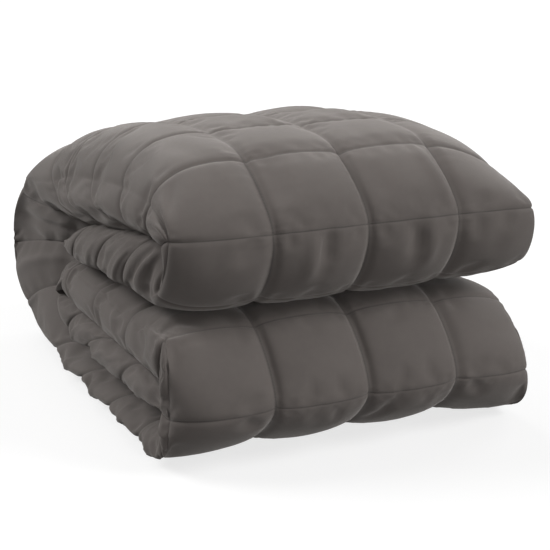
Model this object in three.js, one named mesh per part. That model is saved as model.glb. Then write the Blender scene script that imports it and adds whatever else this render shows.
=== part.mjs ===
// A quilted weighted blanket, folded into a soft block.
//
// The blanket is folded in three across its width, which makes a thick strip five squares wide
// with round fold edges.  The strip is then laid back and forth: both ends are folded in to the
// middle, and the whole is folded once more, so that two fat round folds lie one over the other
// at the front and one big bend closes the back.
//
// The frame is +Z up.  The front, where the two round folds are, looks along -Y, and the fold
// edges of the strip look along -X and +X.  The origin is on the ground under the middle.

import * as THREE from "three";

// Driving dimensions, in millimetres.
const SQUARE = 95;            // pitch of the quilted squares, puffed up
const COLUMNS = 4;            // whole squares between the two round edges of the strip
const LEFT_REACH = 0.98;      // squares from the last line of stitching to the left edge
const RIGHT_REACH = 0.94;     // and to the right edge
const REACH_SHAPE = 1.6;      // above 1, the outer face gets steeper towards the edge
const LEFT_FALL = 2.2;        // how late the outer face falls back towards the left edge
const RIGHT_FALL = 1.1;       // and towards the right edge
const EDGE_BULGE = 7;         // how far a fold edge stands out at a line of stitching
const EDGE_PUFF = 11;         // how far a fold edge puffs out between two lines of stitching
const INNER_PUFF = 2;         // puff of the face that is folded inwards
const INNER_DROP = 4;         // how far that face falls back at the fold edges
const PUFF_SHAPE = 0.6;       // 1 is a plain sine hump, less is a fuller pillow
const CROSS_SEAM_DEPTH = 0.5; // share of the puff that a line of stitching across takes away

// The lines of stitching across the strip, one row each, from the end inside the upper fold to
// the end inside the lower fold: y and z of the outer face, y and z of the inner face, how far
// the outer face moves in y and z towards the left and towards the right fold edge, how far it
// puffs out, and the steps to the next row.
const ROWS = [
  // upper fold, lower half, from its end at the back
  { outer: [405, 126], inner: [400, 136], left: [0, 3], right: [0, 3], puff: 0, steps: 3 },
  { outer: [318, 138], inner: [262, 177], left: [-6, 9], right: [-6, 9], puff: 2, steps: 3 },
  { outer: [222, 144], inner: [150, 196], left: [-6, 11], right: [-6, 11], puff: 3, steps: 3 },
  { outer: [128, 147], inner: [82, 204], left: [-6, 8], right: [-4, 8], puff: 3, steps: 4 },
  // round front of the upper fold
  { outer: [33, 155], inner: [66, 208], left: [3, 14], right: [5, 14], puff: 9, steps: 4 },
  { outer: [0, 223], inner: [60, 212], left: [14, 0], right: [16, -6], puff: 10, steps: 4 },
  { outer: [64, 278], inner: [68, 216], left: [-6, -32], right: [8, -50], puff: 9, steps: 4 },
  // top
  { outer: [149, 289], inner: [106, 213], left: [-17, -42], right: [-4, -42], puff: 9, steps: 4 },
  { outer: [236, 285], inner: [172, 202], left: [-12, -48], right: [-10, -38], puff: 9, steps: 4 },
  { outer: [326, 269], inner: [240, 190], left: [-14, -46], right: [-14, -40], puff: 9, steps: 4 },
  // big bend at the back
  { outer: [418, 243], inner: [318, 171], left: [-46, -36], right: [-40, -36], puff: 9, steps: 4 },
  { outer: [500, 202], inner: [396, 149], left: [-22, -32], right: [-30, -32], puff: 9, steps: 4 },
  { outer: [545, 122], inner: [424, 118], left: [-26, -6], right: [-34, -6], puff: 9, steps: 4 },
  { outer: [516, 38], inner: [412, 76], left: [-22, 9], right: [-30, 9], puff: 8, steps: 4 },
  // underside
  { outer: [434, 7], inner: [350, 50], left: [-14, 5], right: [-14, 5], puff: 12, steps: 3 },
  { outer: [344, 6], inner: [264, 49], left: [0, 3], right: [0, 3], puff: 12, steps: 3 },
  { outer: [249, 6], inner: [172, 51], left: [0, 2], right: [0, 2], puff: 12, steps: 3 },
  { outer: [156, 6], inner: [96, 51], left: [0, 2], right: [0, 2], puff: 12, steps: 3 },
  // round front of the lower fold
  { outer: [64, 12], inner: [66, 54], left: [-12, -3], right: [-8, -2], puff: 12, steps: 4 },
  { outer: [-6, 62], inner: [36, 69], left: [27, -4], right: [18, -8], puff: 10, steps: 4 },
  { outer: [50, 126], inner: [60, 89], left: [-18, 0], right: [14, -20], puff: 9, steps: 4 },
  // top of the lower fold
  { outer: [132, 131], inner: [140, 91], left: [-8, -12], right: [0, -20], puff: 3, steps: 3 },
  { outer: [222, 132], inner: [232, 91], left: [0, -12], right: [0, -12], puff: 2, steps: 3 },
  { outer: [314, 130], inner: [320, 91], left: [0, -10], right: [0, -10], puff: 2, steps: 3 },
  // small fold inside the back
  { outer: [398, 111], inner: [370, 89], left: [-4, -4], right: [-4, -4], puff: 3, steps: 3 },
  { outer: [395, 77], inner: [370, 86], left: [-4, 2], right: [-4, 2], puff: 3, steps: 3 },
  // middle layer of the lower fold, to its end behind the front
  { outer: [318, 59], inner: [288, 84], left: [0, 5], right: [0, 5], puff: 1, steps: 3 },
  { outer: [233, 57], inner: [200, 84], left: [0, 5], right: [0, 5], puff: 1, steps: 3 },
  { outer: [144, 57], inner: [116, 84], left: [0, 5], right: [0, 5], puff: 1, steps: 3 },
  { outer: [54, 64], inner: [54, 78], left: [0, 2], right: [0, 2], puff: 0, steps: 0 },
];

// Columns round the section, counted in squares: the outer face runs from -2 to 2, each fold edge
// takes one square, and the inner face closes the ring from 3 over 5, which is -5, to -3.
const HALF = COLUMNS / 2;
const EDGE_END = HALF + 1;
const RING_END = HALF + 1 + HALF;
const OUTER_STEPS = 4;
const EDGE_STEPS = 5;
const INNER_STEPS = 1;

function ringColumns() {
  const columns = [];
  const add = (from, to, steps) => {
    const count = Math.round((to - from) * steps);
    for (let i = 0; i < count; i++) columns.push(from + (i * (to - from)) / count);
  };
  add(-RING_END, -EDGE_END, INNER_STEPS);
  add(-EDGE_END, -HALF, EDGE_STEPS);
  add(-HALF, HALF, OUTER_STEPS);
  add(HALF, EDGE_END, EDGE_STEPS);
  add(EDGE_END, RING_END, INNER_STEPS);
  return columns;
}

// The curve through the points that the rows hold under a name (Catmull-Rom), at row number t.
function alongRows(name, t) {
  const last = ROWS.length - 1;
  const i = THREE.MathUtils.clamp(Math.floor(t), 0, last - 1);
  const f = t - i;
  const [b, c] = [ROWS[i][name], ROWS[i + 1][name]];
  return new THREE.Vector2(...[0, 1].map((k) => {
    const a = i > 0 ? ROWS[i - 1][name][k] : 2 * b[k] - c[k];
    const d = i < last - 1 ? ROWS[i + 2][name][k] : 2 * c[k] - b[k];
    const bend = 2 * a - 5 * b[k] + 4 * c[k] - d + f * (3 * (b[k] - c[k]) + d - a);
    return b[k] + 0.5 * f * (c[k] - a + f * bend);
  }));
}

// Height of the pillow between two lines of stitching, 0 on the lines and 1 midway.
function pillow(squares) {
  return Math.abs(Math.sin(Math.PI * squares)) ** PUFF_SHAPE;
}

// How far a point puffs out, from its row and column.
function puffHeight(t, column) {
  const i = Math.min(Math.floor(t), ROWS.length - 2);
  const rowPuff = THREE.MathUtils.lerp(ROWS[i].puff, ROWS[i + 1].puff, t - i);
  const along = Math.abs(column);
  const fade = Math.min(1, t, ROWS.length - 1 - t);
  if (along > EDGE_END) return INNER_PUFF * fade * pillow(t) * pillow(column);
  const onEdge = THREE.MathUtils.smoothstep(along, HALF - 0.5, HALF + 0.3);
  const crossDepth = THREE.MathUtils.lerp(CROSS_SEAM_DEPTH, 1, onEdge);
  const across = 1 - crossDepth * (1 - pillow(t));
  const lengthwise = THREE.MathUtils.lerp(pillow(column), 1 - (along - HALF) ** 2 * 0.6, onEdge);
  return THREE.MathUtils.lerp(rowPuff, EDGE_PUFF * fade, onEdge) * across * lengthwise;
}

// One point of the cloth's surface.  Each part of the section gives the point without its puff,
// as x and a place in the y-z plane, and the way it puffs out, sideways and in that plane.
function clothPoint(t, column) {
  const outer = alongRows("outer", t);
  const inner = alongRows("inner", t);
  const shift = alongRows(column < 0 ? "left" : "right", t);
  const inward = inner.clone().sub(outer).normalize();
  const tangent = alongRows("outer", t + 0.02).sub(alongRows("outer", t - 0.02)).normalize();
  const out = new THREE.Vector2(-tangent.y, tangent.x);
  const along = Math.abs(column);
  const reach = column < 0 ? LEFT_REACH : RIGHT_REACH;
  const edge = (HALF - 1 + reach) * SQUARE;
  let x, place, sideways, lean;
  if (along <= HALF) {
    const last = Math.max(0, along - HALF + 1);
    x = (Math.min(along, HALF - 1) + reach * (1 - (1 - last) ** REACH_SHAPE)) * SQUARE;
    place = outer.addScaledVector(shift, last ** (column < 0 ? LEFT_FALL : RIGHT_FALL));
    sideways = 0.6 * last * last;
    lean = out.multiplyScalar(1 - sideways);
  } else if (along <= EDGE_END) {
    const turn = Math.PI * (along - HALF);
    x = edge + EDGE_BULGE * Math.sin(turn);
    const edgeEnd = inner.addScaledVector(inward, -INNER_DROP);
    place = outer.add(shift).lerp(edgeEnd, (1 - Math.cos(turn)) / 2);
    sideways = 0.6 + 0.4 * Math.sin(turn);
    lean = out.multiplyScalar(0.4 * Math.cos(turn));
  } else {
    const back = (RING_END - along) / HALF;
    x = back * edge;
    place = inner.addScaledVector(inward, -INNER_DROP * back ** 4);
    sideways = 0;
    lean = inward;
  }
  const height = puffHeight(t, column);
  place.addScaledVector(lean, height);
  return [Math.sign(column) * (x + sideways * height), place.x, Math.max(0, place.y)];
}

function rowSteps() {
  const stations = [];
  ROWS.forEach((row, i) => {
    for (let k = 0; k < row.steps; k++) stations.push(i + k / row.steps);
  });
  stations.push(ROWS.length - 1);
  return stations;
}

// The closed skin of the cloth: a ring of points at each station, joined to the next ring, and a
// fan over each of the two ends.
function quiltedCloth() {
  const columns = ringColumns();
  const stations = rowSteps();
  const points = [];
  const faces = [];
  for (const t of stations) {
    for (const column of columns) points.push(...clothPoint(t, column));
  }
  const around = columns.length;
  const at = (i, j) => i * around + (j % around);
  for (let i = 0; i + 1 < stations.length; i++) {
    for (let j = 0; j < around; j++) {
      const [a, b, c, d] = [at(i, j), at(i, j + 1), at(i + 1, j + 1), at(i + 1, j)];
      faces.push(a, b, c, a, c, d);
    }
  }
  for (const i of [0, stations.length - 1]) {
    const hub = points.length / 3;
    const sum = [0, 0, 0];
    for (let j = 0; j < around; j++) {
      for (let k = 0; k < 3; k++) sum[k] += points[at(i, j) * 3 + k] / around;
      if (i === 0) faces.push(hub, at(i, j + 1), at(i, j));
      else faces.push(hub, at(i, j), at(i, j + 1));
    }
    points.push(...sum);
  }
  const geometry = new THREE.BufferGeometry();
  geometry.setAttribute("position", new THREE.Float32BufferAttribute(points, 3));
  geometry.setIndex(faces);
  geometry.computeBoundingBox();
  const middle = geometry.boundingBox.getCenter(new THREE.Vector3());
  geometry.translate(-middle.x, -middle.y, 0);
  geometry.computeVertexNormals();
  return geometry;
}

const cloth = new THREE.MeshStandardMaterial({ color: 0x7a7570, roughness: 0.85, metalness: 0 });
const blanket = new THREE.Mesh(quiltedCloth(), cloth);
blanket.name = "blanket";

const model = new THREE.Group();
model.add(blanket);

export default model;
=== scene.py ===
"""A quilted weighted blanket, folded into a soft block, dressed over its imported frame.

The file is laid out as an add-on: property groups hold the sizes and colours, one operator makes
the blanket, one makes the stage, and a panel lists them all.  Run as a script, it calls both.
"""

import math

import bpy
import numpy as np
from bpy.props import FloatProperty, FloatVectorProperty, PointerProperty
from bpy.types import Operator, Panel, PropertyGroup
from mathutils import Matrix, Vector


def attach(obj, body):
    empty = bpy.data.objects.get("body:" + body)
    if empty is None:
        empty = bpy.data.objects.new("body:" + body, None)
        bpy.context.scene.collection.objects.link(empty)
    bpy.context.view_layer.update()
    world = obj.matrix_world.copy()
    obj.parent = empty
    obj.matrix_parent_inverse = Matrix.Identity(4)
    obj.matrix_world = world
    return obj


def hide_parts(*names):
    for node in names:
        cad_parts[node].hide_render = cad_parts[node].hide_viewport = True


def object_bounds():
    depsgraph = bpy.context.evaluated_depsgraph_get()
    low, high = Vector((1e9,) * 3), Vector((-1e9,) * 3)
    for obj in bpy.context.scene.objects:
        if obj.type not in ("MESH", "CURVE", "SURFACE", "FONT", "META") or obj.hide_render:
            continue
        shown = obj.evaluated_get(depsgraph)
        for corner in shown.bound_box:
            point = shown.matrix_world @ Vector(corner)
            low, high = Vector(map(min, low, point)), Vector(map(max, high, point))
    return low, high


bl_info = {
    "name": "Folded Weighted Blanket",
    "version": (1, 0, 0),
    "blender": (4, 5, 0),
    "location": "View3D > Sidebar > Blanket",
    "description": "Makes a folded, quilted weighted blanket and a plain stage for it",
    "category": "Add Mesh",
}

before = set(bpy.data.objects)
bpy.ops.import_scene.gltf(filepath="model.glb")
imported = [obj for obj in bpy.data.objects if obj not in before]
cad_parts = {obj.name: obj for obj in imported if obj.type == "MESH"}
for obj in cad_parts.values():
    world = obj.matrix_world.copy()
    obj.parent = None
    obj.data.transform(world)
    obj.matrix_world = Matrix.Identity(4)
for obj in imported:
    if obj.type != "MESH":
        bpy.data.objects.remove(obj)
CAD_BOX = [list(corner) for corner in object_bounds()]

NODE = "blanket"
MM = 0.001

# The lines of stitching across the strip, one row each, in millimetres, from the end inside the
# upper fold to the end inside the lower fold: the outer face and the inner face in y and z, how
# far the outer face moves in y and z towards the left and the right fold edge, how far the inner
# face moves there in y and z and draws in along x, how far the fold edge stands out along x, how
# far the cloth puffs out, and how strongly the filling presses.
ROW_COLUMNS = ("outer_y", "outer_z", "inner_y", "inner_z", "left_y", "left_z", "right_y",
               "right_z", "tuck_y", "tuck_z", "tuck_x", "bulge", "puff", "press")
ROWS = np.array([
    # upper fold, lower half, from its end at the back
    (405, 126, 400, 136, -70, 20, -40, 12, -68, 16, 0, 4, 0, 0.2),
    (318, 135, 262, 180, -26, 8, -16, 8, -10, 5, 14, 7, 2, 0.2),
    (222, 141, 150, 203, -12, 10, -8, 10, 4, -2, 16, 7, 3, 0.3),
    (128, 145, 82, 211, 6, 10, -4, 10, -8, 0, 16, 5, 3, 0.4),
    # round front of the upper fold
    (33, 155, 66, 214, 14, 13, 0, 6, -34, -3, 14, -7, 9, 1.0),
    (0, 223, 60, 217, 14, 0, 16, -6, -24, -4, 14, 4, 10, 1.0),
    (64, 278, 68, 219, -6, -32, 8, -50, -14, -4, 16, 6, 9, 0.4),
    # top
    (149, 289, 106, 214, -17, -42, -4, -42, -23, -3, 18, 8, 7, 0.25),
    (236, 285, 172, 205, -12, -48, -10, -38, -48, 1, 18, 8, 7, 0.25),
    (326, 269, 240, 192, -14, -46, -14, -40, -43, -1, 18, 8, 8, 0.3),
    # big bend at the back
    (418, 243, 318, 173, -46, -36, -40, -36, -45, 3, 28, 1, 9, 0.6),
    (503, 202, 396, 149, 0, -32, -30, -32, -70, 18, 40, -6, 9, 0.6),
    (551, 104, 426, 108, 6, -6, -34, -6, -51, 20, 46, -8, 9, 0.7),
    (507, 28, 408, 72, 2, 9, -30, 9, -20, 10, 40, -3, 8, 0.8),
    # underside
    (434, 7, 350, 50, -49, 8, -14, 5, -22, -14, 30, 6, 9, 0.5),
    (344, 6, 264, 49, -54, 6, 0, 3, -28, -15, 30, 7, 9, 0.4),
    (249, 6, 172, 51, -54, 6, 0, 2, -20, -16, 30, 7, 9, 0.4),
    (156, 6, 96, 51, -51, 6, 0, 2, -12, -17, 30, 7, 9, 0.5),
    # round front of the lower fold
    (61, 11, 66, 54, -25, 6, -23, -3, -14, -10, 15, 4, 11, 0.8),
    (-6, 62, 36, 69, 27, -4, 18, -8, 6, -2, 6, 3, 10, 1.0),
    (44, 128, 60, 89, -14, 0, 18, -20, -20, -1, 0, 5, 9, 1.0),
    # top of the lower fold
    (132, 134, 140, 91, -8, -12, 0, -20, -22, -3, 0, 7, 3, 0.3),
    (222, 135, 232, 91, 0, -12, 0, -12, -24, -3, 0, 7, 2, 0.2),
    (314, 133, 320, 91, 0, -10, 0, -10, -20, -3, 0, 7, 2, 0.2),
    # small fold inside the back
    (398, 111, 370, 89, -60, 2, -30, -4, -24, 4, 0, 5, 3, 0.2),
    (395, 77, 370, 86, -38, 8, -20, 2, -24, 2, 0, 4, 3, 0.2),
    # middle layer of the lower fold, to its end behind the front
    (318, 59, 288, 84, 0, -2, 0, -2, -6, 0, 6, 6, 1, 0.2),
    (233, 57, 200, 84, 20, -2, 0, -2, -18, 0, 6, 6, 1, 0.2),
    (144, 57, 116, 84, 0, -2, 0, -2, -10, 0, 6, 6, 1, 0.2),
    (54, 64, 54, 78, -30, -4, -20, -4, -30, 0, 0, 3, 0, 0.0),
], dtype=float)
LAST_ROW = len(ROWS) - 1

# Columns round the section, counted in squares: the outer face runs from -2 to 2, each fold edge
# takes one square, and the inner face closes the ring from 3 over 5, which is -5, to -3.
HALF = 2
EDGE_END = 3
RING_END = 5
INNER_STEPS = 4        # cells in a square of the inner face
END_HUBS = 2           # middle points of the fans that close the strip's two ends

LEFT_REACH = 0.98      # squares from the last line of stitching to the left edge
RIGHT_REACH = 0.94     # and to the right edge
REACH_SHAPE = 1.6      # above 1, the outer face gets steeper towards the edge
LEFT_FALL = 2.2        # how late the outer face falls back towards the left edge
RIGHT_FALL = 1.1       # and towards the right edge

# Stretches of the strip, in row numbers: each starts between the first two and ends between the
# last two.
UPPER_FRONT = (3.8, 4.2, 5.9, 6.3)
LOWER_FRONT = (17.6, 18.0, 20.0, 20.4)
FLAT_TOP = (5.9, 6.3, 8.2, 9.2)
UNDERSIDE = (13.3, 13.9, 17.1, 17.6)
LID_ROWS = (20.0, 20.6, 23.6, 24.4)    # the lower fold's top
PUCKER_FREE = (3.4, 3.8, 4.3, 4.6)     # where the upper fold turns under

SMOOTH_LID = 0.65      # share of its fold edges' puff and press that is gone there
CROSS_SEAM = 0.5       # share of the puff that a line of stitching across takes away
FRONT_SEAM = 0.15      # the same on the fronts
TOP_SEAM = 0.75        # how near to that the seams across the top come
RIGHT_TUCK = 0.4       # how far the right fold edges tuck in, against the left ones
RIGHT_BULGE = 0.2      # how far they stand out
RIGHT_PUFF = 0.6       # and how far they puff out
EDGE_START = 0.5       # how steeply a fold edge leaves the outer face, against its fall there
EDGE_FINISH = (1.7, 0.4)  # how fast it reaches the inner face, in y and in z
EDGE_BLEND = (HALF - 0.5, HALF + 0.3)  # columns where the pillows give way to a fold edge's puff
EDGE_TAPER = 0.6       # share of that puff which is gone at the inner face
SIDEWAYS = 0.6         # share of the puff that points sideways where a fold edge starts
TANGENT_STEP = 0.02    # rows between which the outer curve's direction is taken, each way
FRONT_PUFF = 11.96 * MM  # how far the front puffs out before y = 0 in the table

# The soft lights: how far each is tilted from straight above, towards the front if positive, and
# its heading round the blanket, both in degrees.
SOFT_LIGHTS = (
    ("front", 76, 0),
    ("front_right", 53, 50),
    ("left", 52, -124),
    ("back", -50, 0),
    ("back_right", -65, -60),
)

# Folds that the filling and the folding have pressed into the cloth, one row each: the row and
# column numbers where each starts and where it ends, how far it stands out, and how wide it is,
# both in millimetres.
CREASES = np.array([
    # front left corner of the upper fold
    (5.90, -1.62, 5.45, -1.84, -3.0, 6),
    (5.75, -1.80, 5.30, -1.92, 2.5, 5),
    (5.60, -1.95, 5.15, -1.99, -3.0, 5),
    (5.50, -2.20, 5.05, -2.05, 2.5, 6),
    (5.80, -2.45, 5.20, -2.20, -3.0, 8),
    # front of the upper fold, above and below the line of stitching
    (5.98, -0.80, 5.30, -0.90, -4.5, 11),
    (5.90, 0.80, 5.20, 0.86, 3.0, 7),
    (4.97, -0.60, 4.40, -0.66, 3.6, 7),
    (4.99, -0.47, 4.45, -0.50, -4.0, 7),
    (4.99, 0.51, 4.45, 0.48, -3.8, 8),
    (4.97, 0.66, 4.45, 0.64, 3.6, 7),
    (4.97, -1.40, 4.55, -1.48, -1.6, 8),
    (4.97, 1.40, 4.50, 1.32, -1.8, 8),
    (5.60, 0.20, 5.20, 0.28, -1.5, 10),
    (5.70, -1.25, 5.25, -1.35, -1.4, 10),
    # top
    (6.10, -1.30, 6.70, -1.45, -1.6, 9),
    (6.15, 0.30, 6.60, 0.40, -1.2, 9),
    (7.05, -0.70, 7.60, -0.55, -1.8, 9),
    (7.10, -0.20, 7.45, -0.35, 1.5, 8),
    (7.10, 0.55, 7.80, 0.35, -1.5, 10),
    (8.10, -0.55, 8.70, -0.75, -1.6, 10),
    (8.20, 0.75, 8.75, 0.45, 1.4, 9),
    # side pouches of the upper fold
    (6.60, -1.95, 6.85, -2.70, 1.8, 5),
    (7.55, -1.98, 7.80, -2.70, 2.4, 4),
    (8.60, -1.92, 8.78, -2.70, 2.4, 4),
    (9.35, -1.95, 9.55, -2.65, 2.0, 4),
    (10.40, -2.10, 10.80, -2.80, 3.0, 10),
    (11.45, -2.25, 11.60, -2.90, -4.0, 12),
    (12.50, -2.20, 12.40, -2.85, 3.5, 10),
    # ends of the upper fold's lower half
    (3.20, -2.10, 3.40, -2.75, -5.0, 7),
    (3.45, -2.10, 3.55, -2.70, 4.0, 6),
    (3.70, -2.05, 3.65, -2.60, -5.0, 7),
    (3.95, -2.10, 3.85, -2.50, 3.0, 5),
    (2.40, -2.10, 2.60, -2.70, -3.5, 8),
    (1.50, -2.20, 1.40, -2.80, -2.5, 9),
    (2.75, -2.05, 2.88, -2.65, 2.4, 4),
    (1.72, -2.05, 1.78, -2.60, 2.0, 4),
    # lower fold
    (19.95, -1.75, 20.15, -2.60, 2.5, 7),
    (20.30, -1.95, 20.10, -1.20, -2.0, 9),
    (18.98, 0.33, 18.40, 0.10, -3.6, 6),
    (18.98, -0.60, 18.60, -0.52, -1.5, 8),
    (19.10, 0.62, 19.45, 0.70, -1.2, 9),
    (19.05, -1.35, 19.40, -1.30, -1.2, 9),
    (17.55, -2.05, 17.30, -2.70, 3.2, 4),
    (17.30, -2.00, 17.10, -2.50, -3.0, 5),
    (16.65, -2.05, 16.35, -2.75, 3.0, 4),
    (16.40, -2.05, 16.20, -2.55, -2.5, 6),
    (15.65, -2.05, 15.30, -2.75, 3.0, 4),
    (15.35, -2.10, 15.15, -2.60, -2.5, 6),
    (14.60, -2.10, 14.40, -2.75, 2.8, 5),
    # top and inner layers of the lower fold
    (20.35, -1.50, 20.15, -2.05, 2.2, 4),
    (20.62, -1.75, 20.45, -2.35, 2.0, 4),
    (20.80, -1.95, 20.60, -2.60, -2.2, 6),
    (21.40, -1.90, 21.30, -2.50, 1.8, 4),
    (26.50, -2.10, 26.40, -2.60, 2.4, 4),
    (27.30, -2.10, 27.50, -2.65, 2.8, 4),
    (27.60, -2.10, 27.75, -2.60, -2.5, 6),
    (28.45, -2.10, 28.40, -2.60, 2.4, 4),
    # corner of the lower fold's front
    (18.35, -1.95, 18.25, -2.55, -3.0, 5),
    (18.75, -1.97, 18.60, -2.60, 2.5, 4),
    (19.25, -1.97, 19.30, -2.60, -3.0, 5),
    (19.65, -1.93, 19.60, -2.55, -3.0, 5),
    # the same on the right
    (7.45, 1.95, 7.60, 2.70, -3.0, 9),
    (8.50, 1.90, 8.45, 2.70, -3.0, 9),
    (10.50, 1.95, 10.60, 2.80, 3.0, 10),
    (12.45, 2.05, 12.50, 2.80, -3.5, 10),
    (15.50, 2.10, 15.45, 2.75, -3.0, 9),
    (2.50, 2.10, 2.60, 2.70, -3.0, 8),
    (19.50, 1.30, 19.55, 1.90, -1.6, 9),
    (5.45, 1.85, 5.55, 2.50, -2.0, 8),
], dtype=float)

CREASE_ENDS = 0.1      # share of its half wave that is left off at either end of a crease
SEAM_DEPTH = 0.8 * MM  # how deep the thread pulls a seam across the strip into the cloth
SEAM_WIDTH = 1.6 * MM
UNDER_SEAM = 0.3       # share of that depth on the underside
LONG_SEAM = 0.4        # share of that depth in the seams along the strip
SIDE_SEAM = 0.25       # share of that again in a fold edge's seam, away from the fronts
FLAT_COLUMNS = HALF - 0.5  # the columns up to this one lie flat, the rest belong to a fold edge
SEAM_ENDS = 0.5        # rows at either end of the strip that have no seams
HOLLOW = 3.4 * MM      # how deep the cloth falls in towards the seams along the strip
HOLLOW_WIDTH = 10 * MM
FAR_HOLLOW = 0.3       # share of that depth away from the fronts
PUCKER = 0.28 * MM     # how high the small puckers beside a seam stand
PUCKER_REACH = 9 * MM
PUCKER_WAVES = (7.3, 11.9, 17.1)  # waves in a square
PUCKER_TURN = 2.4      # radians by which the longest of them move from one seam to the next
PUCKER_END = (HALF - 0.35, HALF - 0.1)  # columns where they fade towards the fold edges

CLOTH_CELLS = 14       # cells in a square while the cloth is simulated
CLOTH_FRAMES = 16
CLOTH_QUALITY = 5      # steps in a frame
CLOTH_MASS = 0.3
CLOTH_STRETCH = 15     # how hard the cloth is to stretch and to press together
CLOTH_SHEAR = 5
EDGE_PRESS = 0.7       # how strongly the filling presses in a fold edge, at the least
PRESS_EDGE = HALF - 0.3  # the column from which it does
FINE_CELLS = 28        # cells in a square of the finished cloth
SEAM_CROWDING = 0.45   # how much the fine cells crowd towards the seams
SAME = 1e-6            # parameters nearer than this are the same
NUDGE = 1e-9           # puts a parameter on the edge of a cell into the cell that starts there
TINY = 1e-12           # added to a length before anything is divided by it

# The weave, the nap, the stitches and the shade painted beside the seams.  A ramp runs from its
# first number to its second, and waves are counted in a metre.
SIDE_BAND = (HALF - 0.2, HALF - 0.1, HALF + 0.1, HALF + 0.2)  # columns beside a fold edge's seam
OUT_OF_REACH = 100     # millimetres from a seam at which nothing of it shows
NEARER_RAMP = (-0.1, 0.1)     # millimetres by which the seam along the strip is the nearer one
THREAD_RAMP = (0.25, 0.6)     # millimetres from a seam over which the thread ends
GAP_RAMP = (0.06, 0.16)       # share of a stitch, from the middle of a gap, where the thread starts
THREAD_COVER = 0.8            # how much of the cloth's colour the thread hides
NAP_WAVES = (38, 140)         # of the coarse and the fine patches in which the nap lies alike
NAP_DETAIL = (3, 2)
NAP_SHARES = (0.6, 0.4)
NAP_RAMP = (0.35, 0.65)
FIBRE_WAVES = 2600
FIBRE_DETAIL = 2
FIBRE_ROUGHNESS = 0.6
FIBRE_SHARE = 0.2             # how much of the shade comes from the single fibres
# Painted shade: the cloth's colour darkens towards each seam's line, where its groove lies in shade.
PAINTED_SHADE_START = 0.4             # millimetres from a seam where its painted shade starts to fade
PAINTED_SHADE_COVER = 0.6             # how much of the cloth's colour the painted shade hides
LONG_PAINTED_SHADE = 0.4              # share of that painted shade beside a seam along the strip
PAINTED_SHADE_DEPTH = 0.45            # the painted shade's colour against the dark nap's
CLOTH_ROUGHNESS = 0.78
NAP_ROUGHNESS = 0.04          # how much rougher or smoother the nap makes it
CLOTH_GLOSS = 0.25
SHEEN_ROUGHNESS = 0.45
SHEEN_TINT = (1.0, 0.95, 0.91, 1)
FIBRE_BUMP = 0.6
WEAVE_BUMP = 0.15
NAP_BUMP = 0.8
THREAD_BUMP = 2.0
BUMP_STRENGTH = 0.35
BUMP_HEIGHT = 0.4 * MM

MIX_FACTOR, MIX_FIRST, MIX_SECOND = 0, 6, 7  # places of the Mix node's inputs for colours
MIX_RESULT = 2                               # and of the output
WHITE = (1, 1, 1, 1)
FLOOR_ROUGHNESS = 0.9
FLOOR_GLOSS = 0.1
SENSOR = 36            # width of the camera's sensor, in millimetres


def column_of(name):
    """One named column of the table, in metres where it is a length."""
    scale = 1.0 if name == "press" else MM
    return ROWS[:, ROW_COLUMNS.index(name)] * scale


def catmull_rom(before, start, end, after, f):
    """The cubic from start, at f = 0, to end, at f = 1.

    At each of them it runs at half the difference between its two neighbours.
    """
    bend = 2 * before - 5 * start + 4 * end - after + f * (3 * (start - end) + after - before)
    return start + 0.5 * f * (end - before + f * bend)


def along_rows(name, t):
    """The Catmull-Rom curve through a column of the table, at row numbers t."""
    values = column_of(name)
    i = np.clip(np.floor(t).astype(int), 0, LAST_ROW - 1)
    start, end = values[i], values[i + 1]
    before = np.where(i > 0, values[np.maximum(i - 1, 0)], 2 * start - end)
    after = np.where(i < LAST_ROW - 1, values[np.minimum(i + 2, LAST_ROW)], 2 * end - start)
    return catmull_rom(before, start, end, after, t - i)


def smooth_step(x, low, high):
    """0 below low, 1 above high, and 3u^2 - 2u^3 between them."""
    u = np.clip((x - low) / (high - low), 0, 1)
    return u * u * (3 - 2 * u)


def pulse(x, start, full, full_end, end):
    """1 from full to full_end, 0 outside start and end, and smooth between."""
    return smooth_step(x, start, full) * (1 - smooth_step(x, full_end, end))


def at_fronts(t):
    """1 on the fronts of the two folds, and 0 away from them."""
    return np.maximum(pulse(t, *UPPER_FRONT), pulse(t, *LOWER_FRONT))


def off_ends(t):
    """0 on the first and the last row, and 1 from the rows next to them."""
    return np.minimum(1, np.minimum(t, LAST_ROW - t))


def off_lid(t):
    """1, and less along the lower fold's top, where the fold edges lie smoother."""
    return 1 - SMOOTH_LID * pulse(t, *LID_ROWS)


def is_whole(x):
    """Where a parameter is a whole number, so that a line of stitching runs there."""
    return np.abs(x - np.round(x)) < SAME


def pillow(squares, power):
    """|sin(pi s)| to a power: 0 on a line of stitching, 1 midway between two."""
    return np.abs(np.sin(np.pi * squares)) ** power


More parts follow.
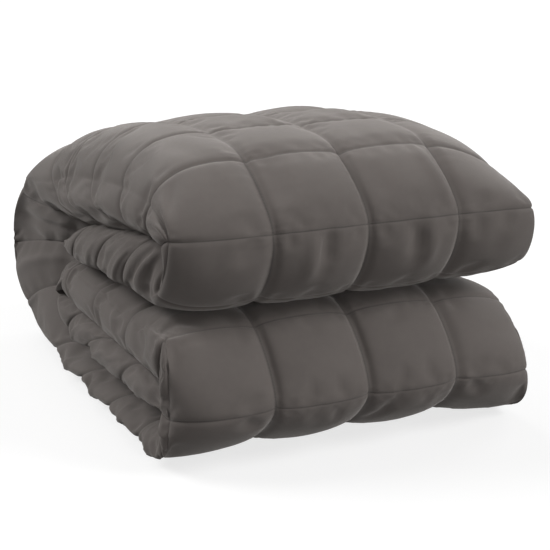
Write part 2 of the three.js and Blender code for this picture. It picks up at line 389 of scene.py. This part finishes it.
def folded_cloth(t, c, shape):
    """Points of the quilted cloth at row numbers t and column numbers c.

    The outer face is the table's outer curve carried along x, shifted in the last square before
    a fold edge by a power of the way across it, and raised along the curve's normal by pillow(t)
    and pillow(c).  A fold edge is a Hermite curve from the outer to the inner face, which stands
    out by a sine and puffs sideways.  The inner face is the table's inner curve carried back
    along x, and moved by its tuck times the square of the distance from the middle.
    """
    left = c < 0
    along = np.abs(c)
    outer = [along_rows("outer_y", t), along_rows("outer_z", t)]
    inner = [along_rows("inner_y", t), along_rows("inner_z", t)]
    shift = [np.where(left, along_rows("left_" + k, t), along_rows("right_" + k, t)) for k in "yz"]
    tucked = np.where(left, 1, RIGHT_TUCK)
    tuck = [along_rows("tuck_" + k, t) * tucked for k in "yz"]
    inward = np.array([inner[0] - outer[0], inner[1] - outer[1]])
    inward = inward / np.hypot(*inward)
    ahead = np.array([along_rows("outer_" + k, t + TANGENT_STEP) for k in "yz"])
    behind = np.array([along_rows("outer_" + k, t - TANGENT_STEP) for k in "yz"])
    tangent = (ahead - behind) / np.hypot(*(ahead - behind))
    out = np.array([-tangent[1], tangent[0]])

    reach = np.where(left, LEFT_REACH, RIGHT_REACH)
    edge = (HALF - 1 + reach) * shape.square
    last = np.clip(along - HALF + 1, 0, 1)
    u = np.clip(along - HALF, 0, 1)
    turn = np.pi * u
    back = np.clip((RING_END - along) / (RING_END - EDGE_END), 0, 1)
    on_outer = along <= HALF
    on_edge = ~on_outer & (along <= EDGE_END)

    def choose(outer_face, fold_edge, inner_face):
        return np.where(on_outer, outer_face, np.where(on_edge, fold_edge, inner_face))

    # Where each point lies along x.
    drawn = along_rows("tuck_x", t) * tucked
    outer_x = (np.minimum(along, HALF - 1) + reach * (1 - (1 - last) ** REACH_SHAPE)) * shape.square
    bulge = along_rows("bulge", t) * np.sin(turn) * np.where(left, 1, RIGHT_BULGE) - drawn * u ** 3
    x = choose(outer_x, edge + bulge, back * (edge - drawn))

    # Where it lies in y and z.
    power = np.where(left, LEFT_FALL, RIGHT_FALL)
    place = []
    for k in range(2):
        start = outer[k] + shift[k]
        end = inner[k] + tuck[k]
        curve = start + (end - start) * u * u * (3 - 2 * u)
        curve = curve + EDGE_START * shift[k] * power * u * (1 - u) ** 2
        curve = curve - EDGE_FINISH[k] * (end - start) * u * u * (1 - u)
        place.append(choose(
            outer[k] + shift[k] * last ** power,
            curve,
            inner[k] + tuck[k] * back ** 2,
        ))

    # How far it puffs out, and which way.
    row = np.minimum(np.floor(t).astype(int), LAST_ROW - 1)
    puffs = column_of("puff")
    row_puff = puffs[row] * (1 - (t - row)) + puffs[row + 1] * (t - row)
    edginess = smooth_step(along, *EDGE_BLEND)
    level = np.maximum(at_fronts(t), TOP_SEAM * pulse(t, *FLAT_TOP))
    seam = CROSS_SEAM + (FRONT_SEAM - CROSS_SEAM) * level
    across = 1 - (seam * (1 - edginess) + edginess) * (1 - pillow(t, shape.pillow_power))
    lengthwise = pillow(c, shape.pillow_power) * (1 - edginess)
    lengthwise += (1 - (along - HALF) ** 2 * EDGE_TAPER) * edginess
    edge_puff = shape.edge_puff * np.where(left, 1, RIGHT_PUFF) * off_ends(t) * off_lid(t)
    height = (row_puff * (1 - edginess) + edge_puff * edginess) * across * lengthwise
    height = np.where(on_outer | on_edge, height * shape.start_puff, 0)
    sideways = choose(SIDEWAYS * last * last, SIDEWAYS + (1 - SIDEWAYS) * np.sin(turn), 0)
    lean = [choose(out[k] * (1 - sideways), out[k] * (1 - SIDEWAYS) * np.cos(turn), inward[k])
            for k in range(2)]

    centre = (LEFT_REACH - RIGHT_REACH) * shape.square / 2
    front = CAD_BOX[0][1] + FRONT_PUFF
    return np.stack([
        np.sign(c) * (x + sideways * height) + centre,
        place[0] + lean[0] * height + front,
        np.maximum(place[1] + lean[1] * height, 0),
    ], axis=-1)


def stations(first, last, cells, crowding=0.0):
    """Parameters from first to last with that many cells a square, crowded towards whole ones."""
    u = np.linspace(first, last, int(round((last - first) * cells)) + 1)
    return u - crowding * np.sin(2 * np.pi * u) / (2 * np.pi)


def ring_columns(cells, crowding=0.0):
    """Column numbers round the section: coarse on the inner face, fine on the rest."""
    parts = [
        stations(-RING_END, -EDGE_END, INNER_STEPS)[:-1],
        stations(-EDGE_END, EDGE_END, cells, crowding)[:-1],
        stations(EDGE_END, RING_END, INNER_STEPS)[:-1],
    ]
    return np.concatenate(parts)


def refine(values, coarse, fine):
    """Values on the coarse parameters along axis 0, carried to the fine ones.

    Inside each square they follow a Catmull-Rom curve, which ends at the lines of stitching, so
    that the cloth keeps its crease there.
    """
    i = np.clip(np.searchsorted(coarse, fine + NUDGE) - 1, 0, len(coarse) - 2)
    f = (fine - coarse[i]) / (coarse[i + 1] - coarse[i])
    f = f.reshape((-1,) + (1,) * (values.ndim - 1))
    whole = is_whole(coarse)
    at_start = (whole[i] | (i == 0)).reshape(f.shape)
    at_end = (whole[i + 1] | (i + 1 == len(coarse) - 1)).reshape(f.shape)
    start, end = values[i], values[i + 1]
    before = np.where(at_start, 2 * start - end, values[np.maximum(i - 1, 0)])
    after = np.where(at_end, 2 * end - start, values[np.minimum(i + 2, len(coarse) - 1)])
    return catmull_rom(before, start, end, after, f)


def ring_mesh(name, points, t, c):
    """A closed skin through a grid of points.

    Each row of points is a ring round the strip.  Each ring is joined to the next one, and a fan
    closes each end.
    """
    rows, around = points.shape[:2]
    hubs = points[[0, -1]].mean(axis=1)
    vertices = np.concatenate([points.reshape(-1, 3), hubs])
    index = np.arange(rows * around).reshape(rows, around)
    following = np.roll(index, -1, axis=1)
    quads = np.stack([index[:-1], following[:-1], following[1:], index[1:]], axis=-1).reshape(-1, 4)
    first = np.full(around, rows * around)
    fans = np.concatenate([
        np.stack([first, following[0], index[0]], axis=-1),
        np.stack([first + 1, index[-1], following[-1]], axis=-1),
    ])
    mesh = bpy.data.meshes.new(name)
    mesh.vertices.add(len(vertices))
    mesh.vertices.foreach_set("co", vertices.astype(np.float32).ravel())
    corners = np.concatenate([quads.ravel(), fans.ravel()]).astype(np.int32)
    mesh.loops.add(len(corners))
    mesh.loops.foreach_set("vertex_index", corners)
    sizes = np.concatenate([np.full(len(quads), 4), np.full(len(fans), 3)]).astype(np.int32)
    mesh.polygons.add(len(sizes))
    mesh.polygons.foreach_set("loop_start", (np.cumsum(sizes) - sizes).astype(np.int32))
    mesh.polygons.foreach_set("use_smooth", np.ones(len(sizes), bool))
    mesh.update(calc_edges=True)

    # The UV map counts squares, so that the stitching and the weave follow the cloth.
    around_next = np.append(c[1:], RING_END)
    low_c = np.broadcast_to(c, (rows - 1, around))
    high_c = np.broadcast_to(around_next, (rows - 1, around))
    low_t = np.repeat(t[:-1, None], around, 1)
    high_t = np.repeat(t[1:, None], around, 1)
    quad_uv = np.stack([low_c, low_t, high_c, low_t, high_c, high_t, low_c, high_t], axis=-1)
    fan_uv = [np.stack([c * 0, c * 0 + end, around_next, c * 0 + end, c, c * 0 + end], axis=-1)
              for end in (t[0], t[-1])]
    uv = np.concatenate([quad_uv.ravel(), *[part.ravel() for part in fan_uv]])
    mesh.uv_layers.new(name="Squares").data.foreach_set("uv", uv.astype(np.float32))
    obj = bpy.data.objects.new(name, mesh)
    bpy.context.scene.collection.objects.link(obj)
    return obj


def fill_group(obj, name, weights, levels=10):
    """A vertex group with the weights rounded to a few levels."""
    group = obj.vertex_groups.new(name=name)
    level = np.round(weights * levels).astype(int)
    for step in range(levels + 1):
        members = np.flatnonzero(level == step)
        if len(members):
            group.add(members.tolist(), step / levels, "REPLACE")


def inflate(points, t, c, shape):
    """Blows the cloth up between its lines of stitching with a cloth simulation.

    Pinned are the inner face, the seams across the strip and those along it, of which the ones
    in the fold edges only at the fronts.  Each point then moves no further than the limit: a
    move of length d gets the length limit * tanh(d / limit).
    """
    obj = ring_mesh("cloth_in_work", points, t, c)
    tt, cc = np.meshgrid(t, c, indexing="ij")
    held = (np.abs(cc) < FLAT_COLUMNS) | (at_fronts(tt) > 0.5)
    pinned = is_whole(tt) | (is_whole(cc) & held) | (np.abs(cc) > EDGE_END - SAME)
    press = np.interp(tt, np.arange(LAST_ROW + 1), column_of("press"))
    edge = np.maximum(press, EDGE_PRESS * off_ends(tt) * off_lid(tt))
    press = np.where(np.abs(cc) > PRESS_EDGE, edge, press)
    hubs = np.ones(END_HUBS)
    fill_group(obj, "stitching", np.append(pinned.astype(float), hubs), 1)
    fill_group(obj, "filling", np.append(press, hubs))
    cloth = obj.modifiers.new("Filling", "CLOTH")
    cloth.settings.quality = CLOTH_QUALITY
    cloth.settings.mass = CLOTH_MASS
    cloth.settings.tension_stiffness = CLOTH_STRETCH
    cloth.settings.compression_stiffness = CLOTH_STRETCH
    cloth.settings.shear_stiffness = CLOTH_SHEAR
    cloth.settings.bending_stiffness = shape.stiffness
    cloth.settings.vertex_group_mass = "stitching"
    cloth.settings.use_pressure = True
    cloth.settings.uniform_pressure_force = shape.pressure
    cloth.settings.vertex_group_pressure = "filling"
    cloth.settings.shrink_min = -shape.fullness
    cloth.settings.effector_weights.gravity = 0
    cloth.collision_settings.use_collision = False
    cloth.point_cache.frame_start = 1
    cloth.point_cache.frame_end = CLOTH_FRAMES
    scene = bpy.context.scene
    for number in range(1, CLOTH_FRAMES + 1):
        scene.frame_set(number)
    solved = obj.evaluated_get(bpy.context.evaluated_depsgraph_get()).data
    moved = np.empty(len(solved.vertices) * 3, np.float32)
    solved.vertices.foreach_get("co", moved)
    moved = moved.reshape(-1, 3)[:-END_HUBS].reshape(points.shape) - points
    scene.frame_set(1)
    bpy.data.meshes.remove(obj.data)
    length = np.linalg.norm(moved, axis=-1, keepdims=True) + TINY
    limit = shape.limit
    return points + moved / length * limit * np.tanh(length / limit)


def outward(points):
    """Unit normals of a grid whose rows are rings.

    Each is the cross product of the ways along the ring and along the strip at its point.
    """
    around = np.roll(points, -1, axis=1) - np.roll(points, 1, axis=1)
    along = np.gradient(points, axis=0)
    normal = np.cross(around, along)
    return normal / (np.linalg.norm(normal, axis=-1, keepdims=True) + TINY)


def relief(t, c, square):
    """How far the finished cloth stands out of its pillows, in metres.

    A crease is height * exp(-(distance from its line / width)^2), and rises and falls along it
    by a sine.  A seam is a narrow groove of the same form.  Towards a seam along the strip the
    cloth also falls in, by depth * exp(-distance / width).  Beside the seams stand puckers, sines
    along the seam times r * exp(1 - 2r), where r is the distance from it over their reach.
    """
    height = np.zeros(np.broadcast(t, c).shape)
    for start_row, start_column, end_row, end_column, high, wide in CREASES:
        run = np.array([end_row - start_row, end_column - start_column])
        share = ((t - start_row) * run[0] + (c - start_column) * run[1]) / (run @ run)
        share = np.clip(share, 0, 1)
        off_t = t - start_row - share * run[0]
        off_c = c - start_column - share * run[1]
        distance = np.hypot(off_t, off_c) * square / MM
        rise = np.sin(np.pi * (CREASE_ENDS + (1 - 2 * CREASE_ENDS) * share))
        height += high * MM * np.exp(-(distance / wide) ** 2) * rise
    to_row = np.abs(t - np.round(t)) * square
    to_column = np.abs(c - np.round(c)) * square
    inside = (np.abs(c) < EDGE_END) & (t > SEAM_ENDS) & (t < LAST_ROW - SEAM_ENDS)
    flat = np.abs(c) < FLAT_COLUMNS
    front = at_fronts(t)
    faint = np.where(flat, 1, SIDE_SEAM + (1 - SIDE_SEAM) * front)
    shallow = 1 - (1 - UNDER_SEAM) * pulse(t, *UNDERSIDE)
    across_seam = shallow * np.exp(-(to_row / SEAM_WIDTH) ** 2)
    long_seam = LONG_SEAM * faint * np.exp(-(to_column / SEAM_WIDTH) ** 2)
    groove = across_seam + long_seam
    height -= SEAM_DEPTH * np.minimum(groove, 1) * inside
    hollow = HOLLOW * (FAR_HOLLOW + (1 - FAR_HOLLOW) * front)
    height -= hollow * np.exp(-to_column / HOLLOW_WIDTH) * (inside * flat)
    puckered = inside * (1 - smooth_step(np.abs(c), *PUCKER_END)) * (1 - pulse(t, *PUCKER_FREE))
    for nearest, along, line in ((to_row, c, np.round(t)), (to_column, t, np.round(c))):
        waves = sum(np.sin(2 * np.pi * along * wave + PUCKER_TURN * line * (k + 1))
                    for k, wave in enumerate(PUCKER_WAVES))
        fade = nearest / PUCKER_REACH
        height += PUCKER * waves * fade * np.exp(1 - fade * 2) * puckered
    return height


class Field:
    """A number that varies over a surface: a socket whose operators add Math nodes."""

    def __init__(self, shader, socket):
        self.shader = shader
        self.socket = socket

    def math(self, operation, *values):
        return self.shader.add("ShaderNodeMath", {"operation": operation}, list(values)).field()

    def __add__(self, other):
        return self.math("ADD", self, other)

    def __radd__(self, other):
        return self.math("ADD", other, self)

    def __sub__(self, other):
        return self.math("SUBTRACT", self, other)

    def __rsub__(self, other):
        return self.math("SUBTRACT", other, self)

    def __mul__(self, other):
        return self.math("MULTIPLY", self, other)

    def __rmul__(self, other):
        return self.math("MULTIPLY", other, self)

    def __abs__(self):
        return self.math("ABSOLUTE", self)

    def sine(self):
        return self.math("SINE", self)

    def smaller(self, other):
        return self.math("MINIMUM", self, other)

    def off_whole(self):
        """Distance to the nearest whole number."""
        return self.math("PINGPONG", self, 0.5)

    def ramp(self, low, high, start=0.0, end=1.0):
        """start below low, end above high, and smooth between them."""
        node = self.shader.add("ShaderNodeMapRange", {"interpolation_type": "SMOOTHSTEP"},
                               [self, low, high, start, end])
        return node.field()

    def pulse(self, start, full, full_end, end):
        """1 from full to full_end, 0 outside start and end, and smooth between."""
        return self.ramp(start, full) * self.ramp(full_end, end, 1, 0)


class Made:
    """A node that was added, and its outputs."""

    def __init__(self, shader, node):
        self.shader = shader
        self.node = node

    def field(self, output=0):
        return Field(self.shader, self.node.outputs[output])


class Shader:
    """A material's node tree, built from expressions."""

    def __init__(self, name):
        self.material = bpy.data.materials.new(name)
        self.material.use_nodes = True
        self.tree = self.material.node_tree
        self.surface = self.tree.nodes["Principled BSDF"]

    def feed(self, node, key, value):
        """Sets one input of a node to a value, or links it to a socket."""
        if isinstance(value, Made):
            value = value.field()
        if isinstance(value, Field):
            self.tree.links.new(value.socket, node.inputs[key])
        else:
            node.inputs[key].default_value = value

    def add(self, kind, settings=None, inputs=()):
        """A node of a kind, with its settings, and its inputs by place or by name."""
        node = self.tree.nodes.new(kind)
        for name, value in (settings or {}).items():
            setattr(node, name, value)
        pairs = inputs.items() if isinstance(inputs, dict) else enumerate(inputs)
        for key, value in pairs:
            self.feed(node, key, value)
        return Made(self, node)

    def noise(self, place, scale, detail=2.0, roughness=0.5):
        """Noise from 0 to 1 at that many waves a metre of the place."""
        return self.add("ShaderNodeTexNoise", None, {
            "Vector": place, "Scale": scale, "Detail": detail, "Roughness": roughness,
        }).field("Fac")

    def mix(self, factor, first, second):
        """A colour between two, by a factor."""
        return self.add("ShaderNodeMix", {"data_type": "RGBA"}, {
            MIX_FACTOR: factor, MIX_FIRST: first, MIX_SECOND: second,
        }).field(MIX_RESULT)

    def dress(self, inputs):
        """Sets or links the named inputs of the surface."""
        for key, value in inputs.items():
            self.feed(self.surface, key, value)


def microfibre(finish, shape):
    """Brushed microfibre.

    It has a soft sheen, a fine nap with a slightly uneven shade where it lies differently, a
    weave, rows of stitches in the seams, and shade painted into its colour beside the seams.
    The stitches, the painted shade and the weave follow the UV map, which counts squares.
    """
    shader = Shader("microfibre")
    place = shader.add("ShaderNodeTexCoord").field("Object")
    squares = shader.add("ShaderNodeUVMap", {"uv_map": "Squares"})
    parts = shader.add("ShaderNodeSeparateXYZ", None, [squares])
    u, v = parts.field(0), parts.field(1)
    to_seam_u = u.off_whole() * (shape.square / MM)
    to_seam_v = v.off_whole() * (shape.square / MM)
    # Along the fold edges the stitching and the shade painted beside it show only at the fronts.
    side = abs(u).pulse(*SIDE_BAND)
    front = v.pulse(*UPPER_FRONT) + v.pulse(*LOWER_FRONT)
    to_seam_u = to_seam_u + side * (1 - front) * OUT_OF_REACH
    to_seam = to_seam_u.smaller(to_seam_v)

    # The stitches are dashes along whichever seam is nearer.
    dash_u = (v * (shape.square / finish.stitch)).off_whole()
    dash_v = (u * (shape.square / finish.stitch)).off_whole()
    near_u = (to_seam_v - to_seam_u).ramp(*NEARER_RAMP)
    dash = dash_u * near_u + dash_v * (1 - near_u)
    thread = to_seam.ramp(*THREAD_RAMP, 1, 0) * dash.ramp(*GAP_RAMP)

    coarse, fine = (shader.noise(place, waves, detail) * share
                    for waves, detail, share in zip(NAP_WAVES, NAP_DETAIL, NAP_SHARES))
    nap = coarse + fine
    fibre = shader.noise(place, FIBRE_WAVES, FIBRE_DETAIL, FIBRE_ROUGHNESS)
    shade = nap.ramp(*NAP_RAMP, -1, 1)
    # Painted shade: the colour darkens towards each seam's line, where its groove lies in shade, and
    # less so beside a seam along the strip.
    painted_seam_shade = to_seam.ramp(PAINTED_SHADE_START, finish.painted_shade_reach / MM, 1, 0)
    painted_seam_shade = painted_seam_shade * (1 - near_u * (1 - LONG_PAINTED_SHADE))
    light = (*finish.colour_light, 1)
    dark = (*finish.colour_dark, 1)
    # The darker colour of the painted seam shade.
    deep = (*[part * PAINTED_SHADE_DEPTH for part in finish.colour_dark], 1)
    lying = (shade * 0.5 + 0.5) * (1 - FIBRE_SHARE) + fibre * FIBRE_SHARE
    cloth = shader.mix(lying, dark, light)
    # Lays the painted seam shade over the cloth's colour.
    cloth = shader.mix(painted_seam_shade * PAINTED_SHADE_COVER, cloth, deep)
    cloth = shader.mix(thread * THREAD_COVER, cloth, (*finish.colour_thread, 1))

    yarns = math.tau * shape.square / finish.yarn
    weave = (u * yarns).sine() * (v * yarns).sine()
    height = fibre * FIBRE_BUMP + weave * WEAVE_BUMP + nap * NAP_BUMP + thread * THREAD_BUMP
    shader.dress({
        "Base Color": cloth,
        "Roughness": CLOTH_ROUGHNESS + shade * NAP_ROUGHNESS,
        "Normal": shader.add("ShaderNodeBump", None, {
            "Strength": BUMP_STRENGTH, "Distance": BUMP_HEIGHT, "Height": height,
        }),
        "Specular IOR Level": CLOTH_GLOSS,
        "Sheen Weight": finish.sheen,
        "Sheen Roughness": SHEEN_ROUGHNESS,
        "Sheen Tint": SHEEN_TINT,
    })
    return shader.material


class BlanketFinish(PropertyGroup):
    """Colours and textures of the cloth."""

    colour_light: FloatVectorProperty(name="Light Nap", description="Colour where the nap lies up",
                                      subtype="COLOR", default=(0.1545, 0.136, 0.126))
    colour_dark: FloatVectorProperty(name="Dark Nap", description="Colour where the nap lies down",
                                     subtype="COLOR", default=(0.1405, 0.123, 0.114))
    colour_thread: FloatVectorProperty(name="Thread", description="Colour of the stitches",
                                       subtype="COLOR", default=(0.09, 0.082, 0.077))
    stitch: FloatProperty(name="Stitch", description="Length of a stitch and its gap",
                          default=0.0035, unit="LENGTH")
    yarn: FloatProperty(name="Yarn", description="Pitch of the weave", default=0.0006, unit="LENGTH")
    # How far the shade painted into the colour beside a seam reaches.
    painted_shade_reach: FloatProperty(name="Seam Shade", description="How far a seam's shade reaches",
                              default=0.0012, unit="LENGTH")
    sheen: FloatProperty(name="Sheen", description="Strength of the soft sheen", default=0.40,
                         subtype="FACTOR")


class BlanketShape(PropertyGroup):
    """Sizes of the quilted cloth, and how its filling blows it up."""

    square: FloatProperty(name="Square", description="Pitch of the quilted squares, puffed up",
                          default=0.095, unit="LENGTH")
    pillow_power: FloatProperty(name="Pillow Power", description="Below 1 the pillows are fuller",
                                default=0.6)
    edge_puff: FloatProperty(name="Edge Puff", description="How far a fold edge puffs out",
                             default=0.011, unit="LENGTH")
    start_puff: FloatProperty(name="Start Puff",
                              description="Share of the puff before the cloth is blown up",
                              default=0.55, subtype="FACTOR")
    pressure: FloatProperty(name="Pressure", description="Pressure of the filling", default=4.0)
    fullness: FloatProperty(name="Fullness",
                            description="How much longer the cloth is than its squares",
                            default=0.012, subtype="FACTOR")
    stiffness: FloatProperty(name="Stiffness", description="How hard the cloth is to bend",
                             default=2.0)
    limit: FloatProperty(name="Limit", description="How far the filling may push the cloth",
                         default=0.008, unit="LENGTH")


class BlanketStage(PropertyGroup):
    """Sizes, colours and strengths of the stage."""

    floor_reach: FloatProperty(name="Floor Reach", description="Half the floor's side",
                               default=60.0, unit="LENGTH")
    floor_colour: FloatVectorProperty(name="Floor", description="Colour of the floor",
                                      subtype="COLOR", default=(0.34, 0.34, 0.34))
    floor_glow: FloatProperty(name="Floor Glow", description="How brightly the floor itself glows",
                              default=0.74)
    room_light: FloatProperty(name="Room Light", description="Light from all round", default=0.15)
    front: FloatProperty(name="Front", description="Strength of the low soft light in front",
                         default=0.62)
    front_right: FloatProperty(name="Front Right",
                               description="Strength of the soft light at the front right",
                               default=1.55)
    left: FloatProperty(name="Left", description="Strength of the soft light on the left",
                        default=1.75)
    back: FloatProperty(name="Back", description="Strength of the soft light behind", default=0.7)
    back_right: FloatProperty(name="Back Right",
                              description="Strength of the soft light behind on the right",
                              default=0.6)
    spread: FloatProperty(name="Spread", description="How wide each soft light looks", subtype="ANGLE",
                          default=math.radians(28))
    lens: FloatProperty(name="Lens", description="Focal length in millimetres", default=90.7)
    camera_place: FloatVectorProperty(name="Camera", description="Where the camera stands",
                                      subtype="TRANSLATION", default=(-0.5835, -1.3346, 0.5142))
    camera_azimuth: FloatProperty(name="Azimuth", description="Heading of the camera", subtype="ANGLE",
                                  default=math.radians(-24.72))
    camera_elevation: FloatProperty(name="Elevation", description="How far the camera looks down",
                                    subtype="ANGLE", default=math.radians(15.62))


class BLANKET_OT_cloth(Operator):
    """Makes the folded, quilted cloth of the blanket in place of its CAD solid"""

    bl_idname = "blanket.cloth"
    bl_label = "Quilted Cloth"

    def execute(self, context):
        shape = context.scene.blanket_shape
        t = stations(0, LAST_ROW, CLOTH_CELLS)
        c = ring_columns(CLOTH_CELLS)
        points = folded_cloth(*np.meshgrid(t, c, indexing="ij"), shape)
        points = inflate(points, t, c, shape)
        fine_t = stations(0, LAST_ROW, FINE_CELLS, SEAM_CROWDING)
        fine_c = ring_columns(FINE_CELLS, SEAM_CROWDING)
        points = refine(points, t, fine_t)
        closed = np.concatenate([points, points[:, :1]], axis=1).swapaxes(0, 1)
        points = refine(closed, np.append(c, RING_END), fine_c).swapaxes(0, 1)
        high = relief(fine_t[:, None], fine_c[None, :], shape.square)
        points = points + outward(points) * high[..., None]
        points[..., 2] = np.maximum(points[..., 2], 0)
        obj = ring_mesh("quilted_cloth", points, fine_t, fine_c)
        obj.data.materials.append(microfibre(context.scene.blanket_finish, shape))
        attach(obj, "root")
        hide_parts(NODE)
        return {"FINISHED"}


class BLANKET_OT_stage(Operator):
    """Makes the floor, the lights and the camera"""

    bl_idname = "blanket.stage"
    bl_label = "Stage"

    def execute(self, context):
        scene = context.scene
        studio = scene.blanket_stage
        reach = studio.floor_reach
        corners = [(-reach, -reach, 0), (reach, -reach, 0), (reach, reach, 0), (-reach, reach, 0)]
        mesh = bpy.data.meshes.new("floor")
        mesh.from_pydata(corners, [], [(0, 1, 2, 3)])
        floor = bpy.data.objects.new("floor", mesh)
        scene.collection.objects.link(floor)
        shader = Shader("pale_floor")
        shader.dress({
            "Base Color": (*studio.floor_colour, 1),
            "Roughness": FLOOR_ROUGHNESS,
            "Specular IOR Level": FLOOR_GLOSS,
            "Emission Color": WHITE,
            "Emission Strength": studio.floor_glow,
        })
        mesh.materials.append(shader.material)
        floor.visible_diffuse = False
        floor.visible_glossy = False

        world = bpy.data.worlds.new("studio")
        world.use_nodes = True
        background = world.node_tree.nodes["Background"]
        background.inputs["Color"].default_value = WHITE
        background.inputs["Strength"].default_value = studio.room_light
        scene.world = world
        for name, tilt, heading in SOFT_LIGHTS:
            self.add_light(scene, name, getattr(studio, name), tilt, heading, studio.spread)

        lens = bpy.data.cameras.new("camera")
        lens.sensor_width = SENSOR
        lens.lens = studio.lens
        lens.dof.use_dof = False
        camera = bpy.data.objects.new("camera", lens)
        camera.location = studio.camera_place
        camera.rotation_euler = (math.pi / 2 - studio.camera_elevation, 0, studio.camera_azimuth)
        scene.collection.objects.link(camera)
        scene.camera = camera
        scene.view_settings.view_transform = "Standard"
        return {"FINISHED"}

    def add_light(self, scene, name, strength, tilt, heading, spread):
        """A sun of that spread, tilted from straight above to the front and turned to a heading."""
        light = bpy.data.lights.new(name, "SUN")
        light.energy = strength
        light.angle = spread
        sun = bpy.data.objects.new(name, light)
        sun.rotation_euler = (math.radians(tilt), 0, math.radians(heading))
        scene.collection.objects.link(sun)


class BLANKET_PT_panel(Panel):
    """Lists the blanket's sizes, colours and operators"""

    bl_label = "Weighted Blanket"
    bl_space_type = "VIEW_3D"
    bl_region_type = "UI"
    bl_category = "Blanket"

    def draw(self, context):
        scene = context.scene
        for group in (scene.blanket_shape, scene.blanket_finish, scene.blanket_stage):
            for name in type(group).__annotations__:
                self.layout.prop(group, name)
        for kind in (BLANKET_OT_cloth, BLANKET_OT_stage):
            self.layout.operator(kind.bl_idname)


CLASSES = (
    BlanketFinish,
    BlanketShape,
    BlanketStage,
    BLANKET_OT_cloth,
    BLANKET_OT_stage,
    BLANKET_PT_panel,
)


def register():
    for kind in CLASSES:
        bpy.utils.register_class(kind)
    bpy.types.Scene.blanket_shape = PointerProperty(type=BlanketShape)
    bpy.types.Scene.blanket_finish = PointerProperty(type=BlanketFinish)
    bpy.types.Scene.blanket_stage = PointerProperty(type=BlanketStage)


def unregister():
    del bpy.types.Scene.blanket_stage
    del bpy.types.Scene.blanket_finish
    del bpy.types.Scene.blanket_shape
    for kind in reversed(CLASSES):
        bpy.utils.unregister_class(kind)


def main():
    """Registers the add-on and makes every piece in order."""
    register()
    bpy.ops.blanket.stage()
    bpy.ops.blanket.cloth()


if __name__ == "__main__":
    main()
